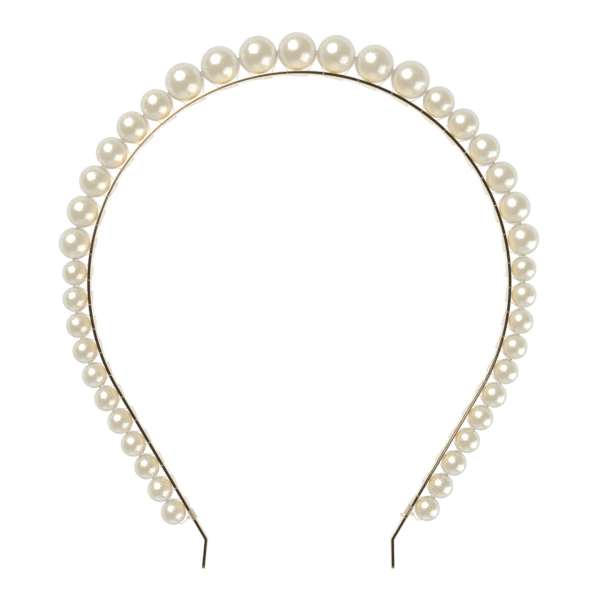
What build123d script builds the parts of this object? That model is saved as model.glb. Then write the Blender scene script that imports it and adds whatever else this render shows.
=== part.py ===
"""Pearl headband: a sprung strip with a row of strung pearls lashed along its outside.

Frame: +Z up towards the crown, X across the head, Y through the band's width, front edge at -Y.
The origin is on the middle plane of the band, level with its two tips. Millimetres and degrees.

The row is described along the strip's centreline: s is the length along it, zero at the crown and
growing clockwise towards the right tip, v is the height over the centreline on the outer side, and
y is the depth. The strip bends as one spring. It is cut at two pearl junctions, where a sprung
hinge stands for the bending, so the strip, the string and the lashing each come in three lengths.
"""

from build123d import *
import math
import os

# ---- strip ----
STRIP_WIDTH = 5.0
STRIP_THICKNESS = 0.95
STRIP_EDGE_RADIUS = 0.1
ARC_RADIUS = 64.2  # of the strip's centreline
LEG_LEAN = 30.5  # the straight legs from the vertical
LEG_LENGTH = 53.0
TAB_HEIGHT = 9.08  # the bent ends below the legs
LEFT_TAB_LEAN = 5.5
RIGHT_TAB_LEAN = 1.0
KINK_RADIUS = 1.4
TIP_CORNER_RADIUS = 1.4
FLEX_GAP = 0.12  # between two lengths of strip, string or lashing at a flex hinge

# ---- pearls, from the crown down each side ----
CROWN_PEARL_RADIUS = 5.85
MID_PEARL_RADIUS = 4.85
SMALL_PEARL_RADIUS = 3.85
CROWN_PEARLS_A_SIDE = 3  # beside the one at the very top
MID_PEARLS_A_SIDE = 6
SMALL_PEARLS_A_SIDE = 11
CROWN_MID_PEARLS = 2  # mid pearls a side that stay with the crown when the band flexes
PEARL_GAP = 0.35
PEARL_STAND_OFF = 0.275  # between a pearl and the strip's outer face
ROW_SHIFT = -0.6  # the whole row sits a little towards the left tip
BORE_RADIUS = 0.6
MOUTH_RADIUS = 0.95
MOUTH_DEPTH = 0.4

# ---- clear lines ----
STRING_RADIUS = 0.2
STRING_SHARE = 0.8  # how near to the middle of two bores' mouths the string crosses their gap
LASHING_RADIUS = 0.15
LINE_CLEARANCE = 0.05
LASHING_BEND = 0.26  # the round in the lashing where it turns a corner
INNER_SLACK = 0.15  # how far the lashing stands off the middle of the inner face
WAIST_DEPTH = 1.15  # from the gap's middle to where a strand leaves the waist between two pearls
STRAND_STEPS = 4  # lengths of a strand between the waist and the strip
WHIPPING_TURNS = 8
WHIPPING_PITCH = 0.4
WHIPPING_START = 1.85  # past the foot of the last pearl
KNOT_LOOP_RADIUS = 0.4
KNOT_LINE_RADIUS = 0.24
STRING_KNOT_PLACE = 3.7  # past the foot of the last pearl
LASHING_KNOT_PLACE = 5.6

HALF_THICKNESS = STRIP_THICKNESS / 2
HALF_WIDTH = STRIP_WIDTH / 2
ARC_END = math.radians(90 + LEG_LEAN)
ARC_LENGTH = ARC_RADIUS * ARC_END
LEAN_SIN = math.sin(math.radians(LEG_LEAN))
LEAN_COS = math.cos(math.radians(LEG_LEAN))
ARC_CENTRE_Z = ARC_RADIUS * LEAN_SIN + LEG_LENGTH * LEAN_COS + TAB_HEIGHT
DEPTH = Vector(0, 1, 0)


# ---- places along the strip ----
def strip_axes(s):
    """The centreline point at s, the direction of growing s and the outward normal."""
    side = -1 if s < 0 else 1
    angle = min(abs(s) / ARC_RADIUS, ARC_END)
    outward = Vector(side * math.sin(angle), 0, math.cos(angle))
    along = Vector(math.cos(angle), 0, -side * math.sin(angle))
    past_arc = max(abs(s) - ARC_LENGTH, 0)
    point = Vector(0, 0, ARC_CENTRE_Z) + outward * ARC_RADIUS + along * (side * past_arc)
    return point, along, outward


def strip_place(s, v=0.0, y=0.0):
    """The point at s along the strip, v over its centreline and y deep."""
    point, _, outward = strip_axes(s)
    return point + outward * v + DEPTH * y


def next_pearl(s, radius, next_radius, step):
    """Walks from a pearl at s to its neighbour, one pearl gap away, in the direction of step."""
    here = strip_place(s, seat_height(radius))
    reach = radius + next_radius + PEARL_GAP
    low, high = 0.0, 2 * reach
    for _ in range(60):
        middle = (low + high) / 2
        there = strip_place(s + step * middle, seat_height(next_radius))
        if (there - here).length < reach:
            low = middle
        else:
            high = middle
    return s + step * low


def seat_height(radius):
    """How far a pearl's centre is over the strip's centreline."""
    return HALF_THICKNESS + PEARL_STAND_OFF + radius


# ---- the row of pearls, from the left tip over the crown to the right tip ----
SIDE_RADII = (
    [CROWN_PEARL_RADIUS] * CROWN_PEARLS_A_SIDE
    + [MID_PEARL_RADIUS] * MID_PEARLS_A_SIDE
    + [SMALL_PEARL_RADIUS] * SMALL_PEARLS_A_SIDE
)
SIDE_NAMES = (
    [f"crown_pearl_{n + 1}" for n in range(CROWN_PEARLS_A_SIDE)]
    + [f"mid_pearl_{n + 1}" for n in range(MID_PEARLS_A_SIDE)]
    + [f"small_pearl_{n + 1}" for n in range(SMALL_PEARLS_A_SIDE)]
)
PEARLS_A_SIDE = len(SIDE_RADII)
LAST = 2 * PEARLS_A_SIDE
LEFT_CUT = SMALL_PEARLS_A_SIDE + MID_PEARLS_A_SIDE - CROWN_MID_PEARLS - 1
RIGHT_CUT = LAST - LEFT_CUT - 1


def side_feet(step):
    """Where each pearl of one side sits, as s, from the crown outwards."""
    feet = []
    s, radius = ROW_SHIFT, CROWN_PEARL_RADIUS
    for next_radius in SIDE_RADII:
        s = next_pearl(s, radius, next_radius, step)
        radius = next_radius
        feet.append(s)
    return feet


RADII = SIDE_RADII[::-1] + [CROWN_PEARL_RADIUS] + SIDE_RADII
FEET = side_feet(-1)[::-1] + [ROW_SHIFT] + side_feet(1)
NAMES = (
    [f"left_{name}" for name in SIDE_NAMES[::-1]]
    + ["top_pearl"]
    + [f"right_{name}" for name in SIDE_NAMES]
)
CENTRES = [strip_place(s, seat_height(r)) for s, r in zip(FEET, RADII)]


def bore_direction(k):
    """A pearl's bore lies along the row, between the directions to its two neighbours."""
    before, after = max(k - 1, 0), min(k + 1, LAST)
    return (CENTRES[after] - CENTRES[before]).normalized()


def junction(k):
    """The middle of the gap between pearl k and the next one, and the outward normal there."""
    along = (CENTRES[k + 1] - CENTRES[k]).normalized()
    return CENTRES[k] + along * (RADII[k] + PEARL_GAP / 2), along, along.cross(DEPTH)


# ---- strip ----
def strip_length(start, end):
    """The flat strip from s = start to s = end on the round part of the band."""
    with BuildPart() as strip:
        with BuildLine() as centreline:
            ThreePointArc(strip_place(start), strip_place((start + end) / 2), strip_place(end))
        sweep_strip(centreline.line)
    return strip


def sweep_strip(path):
    """Sweeps the strip's thin section along a path that lies in the band's plane."""
    section_plane = Plane(origin=path @ 0, x_dir=(0, 1, 0), z_dir=path % 0)
    with BuildSketch(section_plane) as section:
        RectangleRounded(STRIP_WIDTH, STRIP_THICKNESS, STRIP_EDGE_RADIUS)
    sweep(sections=section.sketch, path=path)


def strip_leg(start, side, tab_lean):
    """A side of the strip: the rest of the arc, the straight leg and the bent tab with its tip."""
    arc_stop = strip_place(side * ARC_LENGTH)
    kink = strip_place(side * (ARC_LENGTH + LEG_LENGTH))
    lean = math.radians(tab_lean)
    tip = kink + Vector(side * math.tan(lean), 0, -1) * TAB_HEIGHT
    with BuildPart() as leg:
        with BuildLine(Plane.XZ) as outline:
            arc_middle = strip_place((start + side * ARC_LENGTH) / 2)
            flat = [(p.X, p.Z) for p in (strip_place(start), arc_middle, arc_stop)]
            arc = ThreePointArc(*flat)
            FilletPolyline(arc @ 1, (kink.X, kink.Z), (tip.X, tip.Z), radius=KINK_RADIUS)
        sweep_strip(outline.line)
        tab_down = (tip - kink).normalized()
        tab_plane = Plane(origin=tip, x_dir=(0, 1, 0), z_dir=tab_down.cross(DEPTH))
        with BuildSketch(tab_plane):
            Rectangle(2 * STRIP_WIDTH, 2 * TIP_CORNER_RADIUS)
            rounded_end(tab_plane, tip, tab_down)
        extrude(amount=STRIP_THICKNESS, both=True, mode=Mode.SUBTRACT)
    return leg


def rounded_end(tab_plane, tip, tab_down):
    """Leaves only the strip's rounded end in the sketch of what is cut away."""
    centre = tab_plane.to_local_coords(tip - tab_down * STRIP_WIDTH)
    with Locations((centre.X, centre.Y)):
        RectangleRounded(STRIP_WIDTH, 2 * STRIP_WIDTH, TIP_CORNER_RADIUS, mode=Mode.SUBTRACT)


# ---- pearls ----
def drilled_pearl(k):
    """A round pearl with a bore through its middle and a dished mouth at each end."""
    radius, axis = RADII[k], bore_direction(k)
    section_plane = Plane(origin=CENTRES[k], x_dir=DEPTH, z_dir=DEPTH.cross(axis))
    rim = math.sqrt(radius**2 - MOUTH_RADIUS**2)
    throat = rim - MOUTH_DEPTH
    with BuildPart() as pearl:
        with BuildSketch(section_plane):
            with BuildLine():
                ThreePointArc((MOUTH_RADIUS, rim), (radius, 0), (MOUTH_RADIUS, -rim))
                Polyline(
                    (MOUTH_RADIUS, -rim),
                    (BORE_RADIUS, -throat),
                    (BORE_RADIUS, throat),
                    (MOUTH_RADIUS, rim),
                )
            make_face()
        revolve(axis=Axis(CENTRES[k], axis))
    return pearl


# ---- clear lines ----
def clear_line(path, radius):
    """A round line of one radius along a path."""
    with BuildPart() as line:
        with BuildSketch(Plane(origin=path @ 0, z_dir=path % 0)):
            Circle(radius)
        sweep(path=path)
    return line


def end_knot(plane):
    """A small tight knot: two loops of line drawn through each other round a filled middle."""
    with BuildPart(plane) as knot:
        Sphere(KNOT_LOOP_RADIUS + KNOT_LINE_RADIUS / 2)
        Torus(KNOT_LOOP_RADIUS, KNOT_LINE_RADIUS)
        Torus(KNOT_LOOP_RADIUS, KNOT_LINE_RADIUS, rotation=(0, 90, 0))
    return knot


def knot_plane(s, v):
    """Where a knot sits, over or under the strip."""
    _, along, outward = strip_axes(s)
    return Plane(origin=strip_place(s, v), x_dir=along, z_dir=outward)


def string_crossing(k):
    """Where the string crosses the gap between pearl k and the next one."""
    middle, _, outward = junction(k)
    mouths = bore_mouth(k, 1) + bore_mouth(k + 1, -1)
    return middle + outward * (outward.dot(mouths / 2 - middle) * STRING_SHARE)


def bore_mouth(k, step):
    return CENTRES[k] + bore_direction(k) * (step * RADII[k])


def string_points(first, last):
    """The string through the middles of pearls first to last and the gaps between them."""
    points = [CENTRES[first]]
    for k in range(first, last):
        points += [string_crossing(k), CENTRES[k + 1]]
    return points


def string_end(k, step, knot):
    """The string's tail: out of the mouth of an end pearl and back to its knot on the strip."""
    out = bore_direction(k) * step
    mouth = bore_mouth(k, step) + out * STRING_RADIUS
    inside = CENTRES[k] + out * (RADII[k] * 0.7)
    return [inside, mouth, (mouth + knot) / 2 + out * KNOT_LOOP_RADIUS, knot]


def lashing_loop(k, reach):
    """The lashing's corners over the string at junction k, from the back round to the front."""
    _, _, outward = junction(k)
    outside = string_crossing(k) + outward * reach
    return [outside + DEPTH * reach, outside - DEPTH * reach]


def lashing_reach():
    """From the middle of the string to the middle of the lashing that goes round it."""
    return STRING_RADIUS + LASHING_RADIUS + LINE_CLEARANCE


def strand(k, pearl, front):
    """The corners of one strand, from the waist at junction k down to the strip under a pearl.

    A front strand has front = -1 and a back strand front = 1. It leaves the waist and lies on the
    pearl, as a taut line does, until it runs free to the edge."""
    middle, _, outward = junction(k)
    foot_s = FEET[pearl] + front * quarter_pitch(pearl)
    edge = edge_corner(foot_s, 1, front)
    towards = outward * outward.dot(edge - middle) + DEPTH * edge.Y
    waist = middle + towards.normalized() * WAIST_DEPTH
    skin = RADII[pearl] + LASHING_RADIUS + 2 * LINE_CLEARANCE
    corners = [waist]
    for n in range(1, STRAND_STEPS):
        free = waist + (edge - waist) * (n / STRAND_STEPS)
        arm = free - CENTRES[pearl]
        if skin - arm.length > LINE_CLEARANCE:
            corners.append(CENTRES[pearl] + arm.normalized() * skin)
    return corners


def edge_corner(s, face, edge):
    """Where the lashing turns a corner of the strip: face 1 is the outer, edge 1 the back."""
    off = LASHING_RADIUS + LINE_CLEARANCE
    return strip_place(s, face * (HALF_THICKNESS + off), edge * (HALF_WIDTH + off))


def quarter_pitch(k):
    return (2 * RADII[k] + PEARL_GAP) / 4


def under_strip(front_s, back_s):
    """Down the front edge, slantwise across the inner face and up the back edge."""
    middle = (edge_corner(front_s, -1, -1) + edge_corner(back_s, -1, 1)) / 2
    _, _, outward = strip_axes((front_s + back_s) / 2)
    down = [edge_corner(front_s, 1, -1), edge_corner(front_s, -1, -1)]
    up = [edge_corner(back_s, -1, 1), edge_corner(back_s, 1, 1)]
    return down + [middle - outward * INNER_SLACK] + up


def under_pearl(k):
    return under_strip(FEET[k] - quarter_pitch(k), FEET[k] + quarter_pitch(k))


def whipping(start):
    """Close turns round the strip."""
    corners = []
    for n in range(WHIPPING_TURNS):
        s = start + n * WHIPPING_PITCH
        corners += under_strip(s, s + WHIPPING_PITCH / 2)
    return corners


def lashing_corners(first, last):
    """The lashing along pearls first to last: a turn under each and over the string between."""
    corners = under_pearl(first)
    for k in range(first, last):
        corners += strand(k, k, 1)[::-1] + lashing_loop(k, lashing_reach())
        corners += strand(k, k + 1, -1) + under_pearl(k + 1)
    return corners


def cut_loop(k, front):
    """Half of the loop over the string, where the lashing is cut at a flex hinge."""
    back, fore = lashing_loop(k, lashing_reach())
    middle = (back + fore) / 2 + DEPTH * (front * FLEX_GAP / 2)
    return [back, middle] if front > 0 else [middle, fore]


def lashing_path(corners):
    with BuildLine() as path:
        FilletPolyline(*corners, radius=LASHING_BEND)
    return path.line


def string_path(points):
    with BuildLine() as path:
        Spline(*points)
    return path.line


def write(piece, name):
    piece.part.label = name
    export_step(piece.part, f"parts/{name}.step")


def main():
    os.makedirs("parts", exist_ok=True)

    cut_s = {k: (FEET[k] + FEET[k + 1]) / 2 for k in (LEFT_CUT, RIGHT_CUT)}
    half_gap = FLEX_GAP / 2
    write(strip_length(cut_s[LEFT_CUT] + half_gap, cut_s[RIGHT_CUT] - half_gap), "crown_strip")
    write(strip_leg(cut_s[LEFT_CUT] - half_gap, -1, LEFT_TAB_LEAN), "left_leg_strip")
    write(strip_leg(cut_s[RIGHT_CUT] + half_gap, 1, RIGHT_TAB_LEAN), "right_leg_strip")

    for k, name in enumerate(NAMES):
        write(drilled_pearl(k), name)

    write_strings(half_gap)
    write_lashings()


def write_strings(half_gap):
    """The string in its three lengths, and the knots that end it."""
    whipping_height = HALF_THICKNESS + 2 * (LASHING_RADIUS + LINE_CLEARANCE)
    knot_height = whipping_height + KNOT_LOOP_RADIUS + KNOT_LINE_RADIUS
    left_knot = knot_plane(FEET[0] - STRING_KNOT_PLACE, knot_height)
    right_knot = knot_plane(FEET[LAST] + STRING_KNOT_PLACE, knot_height)
    left_cut, left_along, _ = junction(LEFT_CUT)
    right_cut, right_along, _ = junction(RIGHT_CUT)
    left = string_end(0, -1, left_knot.origin)[::-1] + string_points(0, LEFT_CUT)
    left.append(left_cut - left_along * half_gap)
    crown = string_points(LEFT_CUT + 1, RIGHT_CUT)
    crown = [left_cut + left_along * half_gap] + crown + [right_cut - right_along * half_gap]
    right = [right_cut + right_along * half_gap] + string_points(RIGHT_CUT + 1, LAST)
    right += string_end(LAST, 1, right_knot.origin)
    write(clear_line(string_path(left), STRING_RADIUS), "left_leg_string")
    write(clear_line(string_path(crown), STRING_RADIUS), "crown_string")
    write(clear_line(string_path(right), STRING_RADIUS), "right_leg_string")
    write(end_knot(left_knot), "left_string_knot")
    write(end_knot(right_knot), "right_string_knot")


def write_lashings():
    """The lashing in its three lengths. It starts and ends in a whipping, and the end is knotted."""
    left = whipping(FEET[0] - WHIPPING_START - WHIPPING_TURNS * WHIPPING_PITCH)
    left += lashing_corners(0, LEFT_CUT) + strand(LEFT_CUT, LEFT_CUT, 1)[::-1]
    left += cut_loop(LEFT_CUT, 1)
    crown = cut_loop(LEFT_CUT, -1) + strand(LEFT_CUT, LEFT_CUT + 1, -1)
    crown += lashing_corners(LEFT_CUT + 1, RIGHT_CUT)
    crown += strand(RIGHT_CUT, RIGHT_CUT, 1)[::-1] + cut_loop(RIGHT_CUT, 1)
    right = cut_loop(RIGHT_CUT, -1) + strand(RIGHT_CUT, RIGHT_CUT + 1, -1)
    right += lashing_corners(RIGHT_CUT + 1, LAST) + whipping(FEET[LAST] + WHIPPING_START)
    knot_depth = HALF_THICKNESS + KNOT_LOOP_RADIUS + KNOT_LINE_RADIUS + LINE_CLEARANCE
    tail_s = FEET[LAST] + LASHING_KNOT_PLACE
    tail_knot = knot_plane(tail_s, -knot_depth)
    tail_end = tail_knot.origin - DEPTH * (KNOT_LOOP_RADIUS / 2)
    right += [edge_corner(tail_s, 1, -1), edge_corner(tail_s, -1, -1), tail_end]
    write(clear_line(lashing_path(left), LASHING_RADIUS), "left_leg_lashing")
    write(clear_line(lashing_path(crown), LASHING_RADIUS), "crown_lashing")
    write(clear_line(lashing_path(right), LASHING_RADIUS), "right_leg_lashing")
    write(end_knot(tail_knot), "right_lashing_knot")


main()
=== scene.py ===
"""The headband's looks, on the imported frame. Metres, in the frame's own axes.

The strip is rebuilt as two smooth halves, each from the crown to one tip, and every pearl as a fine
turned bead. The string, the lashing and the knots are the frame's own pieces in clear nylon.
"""

import math

import bpy
from mathutils import Matrix, Vector


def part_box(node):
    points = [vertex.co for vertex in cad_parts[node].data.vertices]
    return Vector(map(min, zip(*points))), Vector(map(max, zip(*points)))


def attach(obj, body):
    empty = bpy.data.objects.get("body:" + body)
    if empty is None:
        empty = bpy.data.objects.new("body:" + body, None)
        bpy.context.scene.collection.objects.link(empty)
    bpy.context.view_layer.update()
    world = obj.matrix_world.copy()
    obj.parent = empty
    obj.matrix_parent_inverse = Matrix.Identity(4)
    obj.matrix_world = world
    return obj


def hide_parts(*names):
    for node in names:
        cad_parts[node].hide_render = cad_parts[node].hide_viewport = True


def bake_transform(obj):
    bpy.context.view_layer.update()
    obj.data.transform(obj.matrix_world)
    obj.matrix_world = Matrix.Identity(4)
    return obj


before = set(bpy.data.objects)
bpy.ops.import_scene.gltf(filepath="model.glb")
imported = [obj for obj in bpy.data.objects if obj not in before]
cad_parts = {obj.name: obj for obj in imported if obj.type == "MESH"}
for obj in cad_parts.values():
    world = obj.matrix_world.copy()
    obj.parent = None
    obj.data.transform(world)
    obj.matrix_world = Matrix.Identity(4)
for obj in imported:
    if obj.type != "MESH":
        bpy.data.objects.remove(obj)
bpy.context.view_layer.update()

MM = 0.001

# ---- strip ----
STRIP_WIDTH = 5.0 * MM
STRIP_THICKNESS = 0.95 * MM
STRIP_EDGE_RADIUS = 0.08 * MM
ARC_RADIUS = 64.2 * MM  # of the strip's centreline
LEG_LEAN = math.radians(30.5)  # the straight legs from the vertical
LEG_LENGTH = 53.0 * MM
TAB_HEIGHT = 9.08 * MM  # the bent ends below the legs
TAB_LEANS = {-1: math.radians(5.5), 1: math.radians(1.0)}
KINK_RADIUS = 1.4 * MM
TIP_CORNER_RADIUS = 1.4 * MM
ARC_END = math.pi / 2 + LEG_LEAN
ARC_CENTRE_Z = ARC_RADIUS * math.sin(LEG_LEAN) + LEG_LENGTH * math.cos(LEG_LEAN) + TAB_HEIGHT
ARC_STEPS, LEG_STEPS, KINK_STEPS, TAB_STEPS, EDGE_STEPS = 150, 40, 16, 60, 6
LEGS = {-1: "left_leg", 1: "right_leg"}

# ---- pearls ----
MOUTH_RADIUS = 0.95 * MM
BORE_RADIUS = 0.6 * MM
MOUTH_DEPTH = 0.4 * MM
MOUTH_CURVE = 0.8  # below 1, so the dish of a mouth is round and not a plain cone
MOUTH_STEPS, PEARL_RINGS, PEARL_TURNS = 6, 56, 88
SIZES = (("crown_pearl", 3, 5.85 * MM), ("mid_pearl", 6, 4.85 * MM), ("small_pearl", 11, 3.85 * MM))
SIDE_NAMES = [f"{size}_{n + 1}" for size, count, _ in SIZES for n in range(count)]
SIDE_RADII = [radius for _, count, radius in SIZES for _ in range(count)]
ROW = [f"left_{name}" for name in SIDE_NAMES[::-1]] + ["top_pearl"] + [f"right_{name}" for name in SIDE_NAMES]
RADII = SIDE_RADII[::-1] + SIDE_RADII[:1] + SIDE_RADII

LINES = [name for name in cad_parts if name.endswith(("_string", "_lashing", "_knot"))]


# ---- materials ----
class Nodes:
    """The node tree of a material or a world, with short ways to add and join nodes."""

    def __init__(self, owner, output):
        owner.use_nodes = True
        self.tree = owner.node_tree
        self.tree.nodes.clear()
        self.output = self.add(output)

    def add(self, kind, **values):
        """A new node. A value is the node's own setting, or the value of the input of that name."""
        node = self.tree.nodes.new(kind)
        for key, value in values.items():
            if hasattr(node, key):
                setattr(node, key, value)
            else:
                node.inputs[key.replace("_", " ")].default_value = value
        return node

    def join(self, a, out, b, into):
        self.tree.links.new(a.outputs[out], b.inputs[into])

    def ramp(self, stops):
        """A colour ramp with a soft step between its (place, colour) stops."""
        node = self.add("ShaderNodeValToRGB")
        node.color_ramp.interpolation = "EASE"
        marks = node.color_ramp.elements
        while len(marks) < len(stops):
            marks.new(0.5)
        for mark, (place, colour) in zip(marks, stops):
            mark.position = place
            mark.color = (*colour, 1)
        return node

    def maths(self, operation, a, b=None):
        """The result of one sum on sockets or numbers."""
        node = self.add("ShaderNodeMath", operation=operation)
        for socket, value in zip(node.inputs, (a, b)):
            if isinstance(value, (int, float)):
                socket.default_value = value
            elif value is not None:
                self.tree.links.new(value, socket)
        return node.outputs[0]

    def product(self, factor=1.0):
        """A node that multiplies the colours in its inputs 6 and 7 into its output 2."""
        node = self.add("ShaderNodeMix", data_type="RGBA", blend_type="MULTIPLY")
        node.inputs[0].default_value = factor
        return node


def material_nodes(name):
    material = bpy.data.materials.new(name)
    return material, Nodes(material, "ShaderNodeOutputMaterial")


def srgb(text):
    """A linear colour from six hex digits."""
    parts = [int(text[n : n + 2], 16) / 255 for n in (0, 2, 4)]
    return tuple(c / 12.92 if c <= 0.04045 else ((c + 0.055) / 1.055) ** 2.4 for c in parts)


def towards_strip(nodes):
    """How squarely a pearl's surface faces the strip, from -1 to 1, on the band at rest: the mask of the
    pearls' painted bounce light.
    """
    shading = nodes.add("ShaderNodeNewGeometry")
    arm = nodes.add("ShaderNodeVectorMath", operation="SUBTRACT")
    arm.inputs[1].default_value = (0, 0, ARC_CENTRE_Z)
    place = nodes.add("ShaderNodeSeparateXYZ")
    facing = nodes.add("ShaderNodeSeparateXYZ")
    nodes.join(shading, "Position", arm, 0)
    nodes.join(arm, "Vector", place, 0)
    nodes.join(shading, "Normal", facing, 0)
    x, z = place.outputs["X"], place.outputs["Z"]
    reach = nodes.maths("ADD", nodes.maths("MULTIPLY", x, x), nodes.maths("MULTIPLY", z, z))
    reach = nodes.maths("SQRT", reach)
    # Outwards follows the arc, and on the straight legs it stays as it is at the arc's end.
    out_z = nodes.maths("MAXIMUM", nodes.maths("DIVIDE", z, reach), -math.sin(LEG_LEAN))
    out_x = nodes.maths("SQRT", nodes.maths("SUBTRACT", 1.0, nodes.maths("MULTIPLY", out_z, out_z)))
    out_x = nodes.maths("MULTIPLY", out_x, nodes.maths("SIGN", x))
    along_x = nodes.maths("MULTIPLY", out_x, facing.outputs["X"])
    along_z = nodes.maths("MULTIPLY", out_z, facing.outputs["Z"])
    return nodes.maths("MULTIPLY", nodes.maths("ADD", along_x, along_z), -1.0)


def pearl_material():
    """Ivory lacquer under a clear hard coat. The warm body pales towards the rim, which is a painted
    reflection of the pale studio around it.

    The side towards the strip has a painted warm tint and a faint painted glow, for the light that the strip
    throws on it.
    """
    # From the middle of the face to the rim: the warm ivory body, with a painted reflection of the pale
    # studio growing towards the rim.
    middle, inner = (0.565, 0.49, 0.35), (0.59, 0.53, 0.405)
    outer, rim = (0.74, 0.715, 0.62), (0.84, 0.82, 0.75)
    bounce_starts, bounce_full = 0.35, 0.95
    material, nodes = material_nodes("pearl_lacquer")
    facing = nodes.add("ShaderNodeLayerWeight", Blend=0.5)
    ramp = nodes.ramp([(0.0, middle), (0.2, inner), (0.5, outer), (1.0, rim)])
    coords = nodes.add("ShaderNodeTexCoord")
    cloud = nodes.add("ShaderNodeTexNoise", Scale=180.0, Detail=1.5)
    tint = nodes.ramp([(0.35, srgb("F6F0E4")), (0.65, srgb("FFFFFF"))])
    clouded = nodes.product(factor=0.4)
    body = nodes.add("ShaderNodeBsdfPrincipled", Roughness=0.34, IOR=1.6, Emission_Strength=1.0)
    body.inputs["Coat Weight"].default_value = 0.7
    body.inputs["Coat Roughness"].default_value = 0.06
    body.inputs["Coat IOR"].default_value = 1.55
    bump = nodes.add("ShaderNodeBump", Strength=0.006, Distance=0.2 * MM)
    # Painted bounce light: a warm glow and a warm tint on the side that faces the strip, as the strip would
    # throw them with the band at rest.
    glow = nodes.ramp([(bounce_starts, (0, 0, 0)), (bounce_full, (0.17, 0.135, 0.075))])
    bounce_tint = nodes.ramp([(bounce_starts, (1, 1, 1)), (bounce_full, (1, 0.94, 0.8))])
    bounce_tinted = nodes.product()
    lit_side = towards_strip(nodes)
    nodes.tree.links.new(lit_side, glow.inputs["Fac"])
    nodes.tree.links.new(lit_side, bounce_tint.inputs["Fac"])
    nodes.join(glow, "Color", body, "Emission Color")
    nodes.join(facing, "Facing", ramp, "Fac")
    nodes.join(coords, "Object", cloud, "Vector")
    nodes.join(cloud, "Fac", tint, "Fac")
    nodes.join(ramp, "Color", clouded, 6)
    nodes.join(tint, "Color", clouded, 7)
    nodes.join(clouded, 2, bounce_tinted, 6)
    nodes.join(bounce_tint, "Color", bounce_tinted, 7)
    nodes.join(bounce_tinted, 2, body, "Base Color")
    nodes.join(cloud, "Fac", bump, "Height")
    nodes.join(bump, "Normal", body, "Normal")
    nodes.join(body, "BSDF", nodes.output, "Surface")
    return material


def strip_material():
    """Polished pale gold plating with faint draw lines along the strip."""
    material, nodes = material_nodes("gold_strip")
    coords = nodes.add("ShaderNodeTexCoord")
    stretch = nodes.add("ShaderNodeMapping", Scale=(60, 2500, 60))
    grain = nodes.add("ShaderNodeTexNoise", Scale=1.0, Detail=3.0)
    rough = nodes.add("ShaderNodeMapRange", To_Min=0.05, To_Max=0.12)
    body = nodes.add("ShaderNodeBsdfPrincipled", Metallic=1.0, Base_Color=(0.9, 0.78, 0.6, 1))
    bump = nodes.add("ShaderNodeBump", Strength=0.05, Distance=0.1 * MM)
    nodes.join(coords, "Object", stretch, "Vector")
    nodes.join(stretch, "Vector", grain, "Vector")
    nodes.join(grain, "Fac", rough, "Value")
    nodes.join(rough, "Result", body, "Roughness")
    nodes.join(grain, "Fac", bump, "Height")
    nodes.join(bump, "Normal", body, "Normal")
    nodes.join(body, "BSDF", nodes.output, "Surface")
    return material


def line_material():
    """Clear nylon line, very slightly warm, with a faint painted glow that keeps it pale where the pearls
    shade it.
    """
    solid_share = 0.2
    material, nodes = material_nodes("clear_nylon")
    coords = nodes.add("ShaderNodeTexCoord")
    cloud = nodes.add("ShaderNodeTexNoise", Scale=1500.0, Detail=2.0)
    tint = nodes.ramp([(0.3, (0.74, 0.68, 0.54)), (0.7, (0.88, 0.83, 0.7))])
    body = nodes.add("ShaderNodeBsdfPrincipled", Roughness=0.25, IOR=1.3, Emission_Strength=1.0)
    # Painted light: a faint warm glow on the line, though it is no lamp.
    body.inputs["Emission Color"].default_value = (0.05, 0.048, 0.04, 1)
    clear = nodes.add("ShaderNodeBsdfTransparent", Color=(0.915, 0.875, 0.815, 1))
    mix = nodes.add("ShaderNodeMixShader", Fac=solid_share)
    nodes.join(coords, "Object", cloud, "Vector")
    nodes.join(cloud, "Fac", tint, "Fac")
    nodes.join(tint, "Color", body, "Base Color")
    nodes.join(clear, 0, mix, 1)
    nodes.join(body, 0, mix, 2)
    nodes.join(mix, 0, nodes.output, "Surface")
    return material


# ---- meshes ----
def build_mesh(name, verts, faces, material, crease):
    """A smooth-shaded object of these faces, sharp wherever they turn by more than crease degrees."""
    mesh = bpy.data.meshes.new(name)
    mesh.from_pydata([tuple(v) for v in verts], [], faces)
    mesh.validate()
    mesh.materials.append(material)
    mesh.update()
    obj = bpy.data.objects.new(name, mesh)
    bpy.context.scene.collection.objects.link(obj)
    mesh.shade_smooth()
    mesh.set_sharp_from_angle(angle=math.radians(crease))
    return obj


def centreline(side):
    """One half of the strip's centreline, as (point, outward normal) pairs from the crown to the tip.

    It is worked out on the +X side and mirrored for the left. The second result is the tab's step.
    """
    rows = []
    for n in range(ARC_STEPS + 1):
        a = ARC_END * n / ARC_STEPS
        out = Vector((math.sin(a), 0, math.cos(a)))
        rows.append((out * ARC_RADIUS, out))
    down = Vector((math.cos(ARC_END), 0, -math.sin(ARC_END)))
    leg_top, leg_out = rows[-1]
    lean = TAB_LEANS[side]
    tab_down = Vector((math.sin(lean), 0, -math.cos(lean)))
    tab_out = Vector((math.cos(lean), 0, math.sin(lean)))
    turn = down.angle(tab_down)
    set_back = KINK_RADIUS * math.tan(turn / 2)
    kink = leg_top + down * LEG_LENGTH
    kink_start, kink_end = kink - down * set_back, kink + tab_down * set_back
    leg = (kink_start - leg_top).length
    for n in range(1, LEG_STEPS + 1):
        rows.append((leg_top + down * (leg * n / LEG_STEPS), leg_out))
    turn_sign = 1 if down.cross(tab_down).y > 0 else -1
    hub = kink_start - leg_out * (KINK_RADIUS * (1 if tab_down.dot(leg_out) < 0 else -1))
    for n in range(1, KINK_STEPS + 1):
        turned = Matrix.Rotation(turn_sign * turn * n / KINK_STEPS, 3, "Y")
        rows.append((hub + turned @ (kink_start - hub), turned @ leg_out))
    tab = TAB_HEIGHT / math.cos(lean) - set_back
    for n in range(1, TAB_STEPS + 1):
        rows.append((kink_end + tab_down * (tab * n / TAB_STEPS), tab_out))
    centre = Vector((0, 0, ARC_CENTRE_Z))
    mirror = Vector((side, 1, 1))
    return [(centre + point * mirror, out * mirror) for point, out in rows], tab / TAB_STEPS


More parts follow.
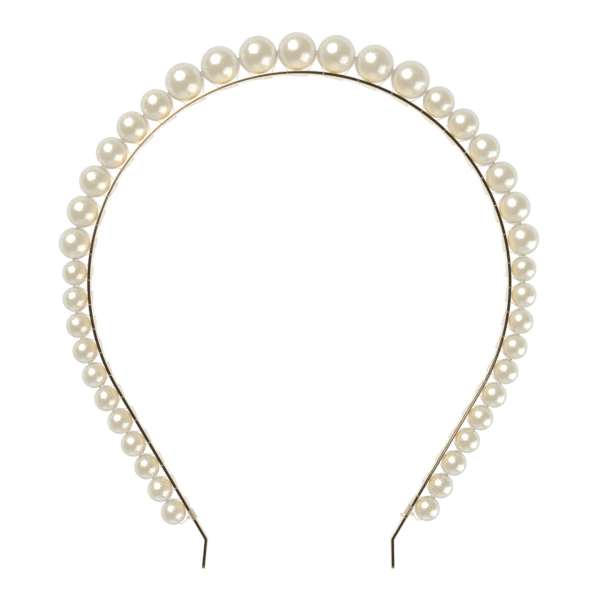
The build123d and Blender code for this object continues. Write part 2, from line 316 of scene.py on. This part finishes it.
def strip_section():
    """The strip's section as (y, height) pairs, anticlockwise, with a fine round on each long edge."""
    points = []
    for corner in range(4):
        y = (STRIP_WIDTH / 2 - STRIP_EDGE_RADIUS) * (1 if corner in (0, 3) else -1)
        h = (STRIP_THICKNESS / 2 - STRIP_EDGE_RADIUS) * (1 if corner in (0, 1) else -1)
        for n in range(EDGE_STEPS + 1):
            a = math.radians(90 * corner + 90 / EDGE_STEPS * n)
            points.append((y + STRIP_EDGE_RADIUS * math.cos(a), h + STRIP_EDGE_RADIUS * math.sin(a)))
    return points


def strip_half(side, material):
    """The strip from the crown to one tip, narrowing over the tip's two round corners."""
    rows, tab_step = centreline(side)
    section = strip_section()
    verts = []
    for n, (point, out) in enumerate(rows):
        to_tip = (len(rows) - 1 - n) * tab_step
        narrow = 0.0
        if to_tip < TIP_CORNER_RADIUS:
            narrow = TIP_CORNER_RADIUS - math.sqrt(TIP_CORNER_RADIUS**2 - (TIP_CORNER_RADIUS - to_tip) ** 2)
        share = (STRIP_WIDTH / 2 - narrow) / (STRIP_WIDTH / 2)
        for y, h in section:
            verts.append(point + out * h + Vector((0, y * share, 0)))
    count = len(section)
    faces = []
    for n in range(len(rows) - 1):
        for m in range(count):
            a, b = n * count + m, n * count + (m + 1) % count
            faces.append((a, b, b + count, a + count))
    faces.append(tuple(range(count))[::-1])
    faces.append(tuple(range(len(verts) - count, len(verts))))
    if side < 0:
        faces = [face[::-1] for face in faces]
    return build_mesh(f"strip_half_{'right' if side > 0 else 'left'}", verts, faces, material, crease=40)


def pearl_profile(radius):
    """The closed outline of half a pearl's section, as (distance from the bore's axis, height) pairs.

    It goes up the bore, out over the upper mouth, down the round and in over the lower mouth.
    """
    throat = math.sqrt(radius**2 - MOUTH_RADIUS**2) - MOUTH_DEPTH
    top = math.asin(MOUTH_RADIUS / radius)
    mouth = []
    for n in range(1, MOUTH_STEPS):
        t = n / MOUTH_STEPS
        mouth.append((BORE_RADIUS + (MOUTH_RADIUS - BORE_RADIUS) * t, throat + MOUTH_DEPTH * t**MOUTH_CURVE))
    profile = [(BORE_RADIUS, -throat), (BORE_RADIUS, 0), (BORE_RADIUS, throat)] + mouth
    for n in range(PEARL_RINGS + 1):
        a = top + (math.pi - 2 * top) * n / PEARL_RINGS
        profile.append((radius * math.sin(a), radius * math.cos(a)))
    return profile + [(r, -h) for r, h in mouth[::-1]]


def pearl(k, centres, material):
    """The pearl at place k of the row, turned about its bore."""
    axis = (centres[min(k + 1, len(ROW) - 1)] - centres[max(k - 1, 0)]).normalized()
    across = Vector((0, 1, 0))
    over = axis.cross(across)
    profile = pearl_profile(RADII[k])
    count = len(profile)
    verts, faces = [], []
    for n in range(PEARL_TURNS):
        a = 2 * math.pi * n / PEARL_TURNS
        arm = across * math.cos(a) + over * math.sin(a)
        verts += [centres[k] + arm * r + axis * h for r, h in profile]
    for n in range(PEARL_TURNS):
        m = (n + 1) % PEARL_TURNS
        for i in range(count):
            j = (i + 1) % count
            faces.append((n * count + i, m * count + i, m * count + j, n * count + j))
    return build_mesh(f"{ROW[k]}_bead", verts, faces, material, crease=50)


def middle_of(node):
    low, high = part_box(node)
    return (low + high) / 2


# ---- pieces on the frame ----
def place_pearls(material):
    """A bead in the place of every pearl, on the pearl's own body."""
    centres = [middle_of(name) for name in ROW]
    beads = []
    for k, name in enumerate(ROW):
        bead = pearl(k, centres, material)
        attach(bead, name)
        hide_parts(name)
        beads.append(bead)
    return beads


def place_strip(material):
    """The two halves of the strip, each curving from the crown down its leg, in place of the frame's crown
    and leg strips.
    """
    halves = []
    for side, leg in LEGS.items():
        half = strip_half(side, material)
        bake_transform(half)
        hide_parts(leg + "_strip", "crown_strip")
        halves.append(half)
    return halves


def dress_lines(material):
    """The frame's own string, lashing and knots, in this material."""
    nodes = [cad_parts[name] for name in LINES]
    for node in nodes:
        node.data.materials.clear()
        node.data.materials.append(material)
    return nodes


# ---- stage ----
def make_world():
    """White to the camera and an even light on matt surfaces.

    A reflection sees a studio that is pale behind the band, dim brown in front of it and dimmer below.
    """
    front, near_front, side = (0.055, 0.042, 0.026), (0.11, 0.09, 0.06), (0.22, 0.19, 0.15)
    near_back, back = (0.52, 0.51, 0.48), (0.58, 0.58, 0.56)
    ambient = 1.08
    white = (1, 1, 1, 1)
    world = bpy.data.worlds.new("studio")
    bpy.context.scene.world = world
    nodes = Nodes(world, "ShaderNodeOutputWorld")
    paths = nodes.add("ShaderNodeLightPath")
    coords = nodes.add("ShaderNodeTexCoord")
    split = nodes.add("ShaderNodeSeparateXYZ")
    depth = nodes.add("ShaderNodeMapRange", From_Min=-1.0)
    ramp = nodes.ramp([(0.0, front), (0.2, near_front), (0.42, side), (0.62, near_back), (1.0, back)])
    height = nodes.add("ShaderNodeMapRange", From_Min=-0.7, From_Max=-0.1, To_Min=0.4)
    glossy = nodes.add("ShaderNodeBackground")
    diffuse = nodes.add("ShaderNodeBackground", Color=white, Strength=ambient)
    plain = nodes.add("ShaderNodeBackground", Color=white)
    see_diffuse = nodes.add("ShaderNodeMixShader")
    see_plain = nodes.add("ShaderNodeMixShader")
    after_diffuse = nodes.maths("GREATER_THAN", paths.outputs["Diffuse Depth"])
    straight = nodes.maths("MAXIMUM", paths.outputs["Is Camera Ray"], paths.outputs["Is Transmission Ray"])
    nodes.join(coords, "Generated", split, 0)
    nodes.join(split, "Y", depth, "Value")
    nodes.join(depth, "Result", ramp, "Fac")
    nodes.join(split, "Z", height, "Value")
    nodes.join(ramp, "Color", glossy, "Color")
    nodes.join(height, "Result", glossy, "Strength")
    nodes.tree.links.new(after_diffuse, see_diffuse.inputs[0])
    nodes.join(glossy, 0, see_diffuse, 1)
    nodes.join(diffuse, 0, see_diffuse, 2)
    nodes.tree.links.new(straight, see_plain.inputs[0])
    nodes.join(see_diffuse, 0, see_plain, 1)
    nodes.join(plain, 0, see_plain, 2)
    nodes.join(see_plain, 0, nodes.output, "Surface")


def make_floor():
    """A pale floor that only the camera sees, so that it throws no colour on the pearls."""
    size, drop = 8.0, 0.4 * MM
    material, nodes = material_nodes("pale_floor")
    glow = nodes.add("ShaderNodeEmission", Color=(1, 1, 1, 1), Strength=1.0)
    nodes.join(glow, "Emission", nodes.output, "Surface")
    bpy.ops.mesh.primitive_plane_add(size=size, location=(0, 0, -drop))
    plane = bpy.context.object
    plane.name = "floor"
    plane.data.materials.append(material)
    plane.visible_diffuse = False
    plane.visible_glossy = False
    plane.visible_transmission = False
    plane.visible_shadow = False


def softbox(
    name, direction, size, radiance, colour=(1, 1, 1), shape="RECTANGLE", distance=1.2, turn=0.0, only=None
):
    """A light that shows only as a reflection, on every piece or on the given ones only.

    Its size is across and then along the line that leads away from the camera's axis.
    """
    middle = Vector((0, 0, 0.085))  # of the band
    data = bpy.data.lights.new(name, "AREA")
    data.shape = shape
    data.size, data.size_y = size
    area = size[0] * size[1] * (math.pi / 4 if shape == "ELLIPSE" else 1)
    data.energy = radiance * math.pi * area
    data.color = colour
    lamp = bpy.data.objects.new(name, data)
    bpy.context.scene.collection.objects.link(lamp)
    aim = Vector(direction).normalized()
    radial = (Vector((0, -1, 0)) + aim * aim.y).normalized()
    turned = Matrix((radial.cross(aim), radial, aim)).transposed() @ Matrix.Rotation(turn, 3, "Z")
    lamp.matrix_world = Matrix.Translation(middle + aim * distance) @ turned.to_4x4()
    lamp.visible_camera = False
    lamp.visible_diffuse = False
    if only:
        group = bpy.data.collections.new(name + "_falls_on")
        for obj in only:
            group.objects.link(obj)
        lamp.light_linking.receiver_collection = group


def make_lights(beads, halves, lines):
    """Key and fill softboxes for the pearls, dimmer twins for the polished strip, and small cards."""
    key = {"direction": (-0.40, -0.74, 0.54), "size": (1.25, 1.45), "shape": "ELLIPSE"}
    fill = {"direction": (0.79, -0.32, -0.56), "size": (1.0, 1.45), "turn": 0.35}
    top = {"direction": (0.0, -0.55, 0.83), "size": (1.1, 0.9)}
    under = {"direction": (-0.1, -0.12, -1.0), "size": (0.9, 0.9)}
    backdrop = {"direction": (0.01, 1.0, 0.01), "size": (5.0, 5.0), "distance": 2.0}
    table = {"direction": (0.0, -0.3, -1.0), "size": (0.9, 0.9)}
    card = {"shape": "ELLIPSE", "distance": 4.0}
    upper_card = {"direction": (-0.071, -1.0, 0.096), "size": (0.33, 0.33)} | card
    lower_card = {"direction": (0.088, -1.0, -0.07), "size": (0.3, 0.34)} | card
    softbox("key", radiance=9.0, colour=(0.78, 0.92, 1.0), only=beads + lines, **key)
    softbox("fill", radiance=5.8, colour=(0.74, 0.88, 1.0), only=beads + lines, **fill)
    softbox("strip_key", radiance=1.3, only=halves, **key)
    softbox("strip_fill", radiance=1.0, only=halves, **fill)
    softbox("top", radiance=0.9, colour=(0.7, 0.9, 1.0), **top)
    softbox("under", radiance=1.9, colour=(0.5, 0.8, 1.0), only=beads, **under)
    softbox("backdrop", radiance=0.38, colour=(1.0, 0.97, 0.92), only=halves, **backdrop)
    softbox("table", radiance=0.22, colour=(1.0, 0.9, 0.75), only=halves, **table)
    softbox("upper_card", radiance=1.1, colour=(1.0, 0.84, 0.82), **upper_card)
    softbox("lower_card", radiance=1.1, colour=(1.0, 0.93, 0.85), **lower_card)


def make_camera():
    """Straight on to the band from the front, just below the middle of its arc."""
    data = bpy.data.cameras.new("camera")
    data.sensor_width = 36
    data.lens = 110.8
    data.clip_start = 0.01
    camera = bpy.data.objects.new("camera", data)
    camera.location = (0.0002, -0.565, 0.08203)
    camera.rotation_euler = (math.pi / 2, 0, 0)
    bpy.context.scene.collection.objects.link(camera)
    bpy.context.scene.camera = camera


gold = strip_material()
ivory = pearl_material()
nylon = line_material()
beads = place_pearls(ivory)
halves = place_strip(gold)
lines = dress_lines(nylon)
make_world()
make_floor()
make_lights(beads, halves, lines)
make_camera()
bpy.context.scene.view_settings.view_transform = "Standard"
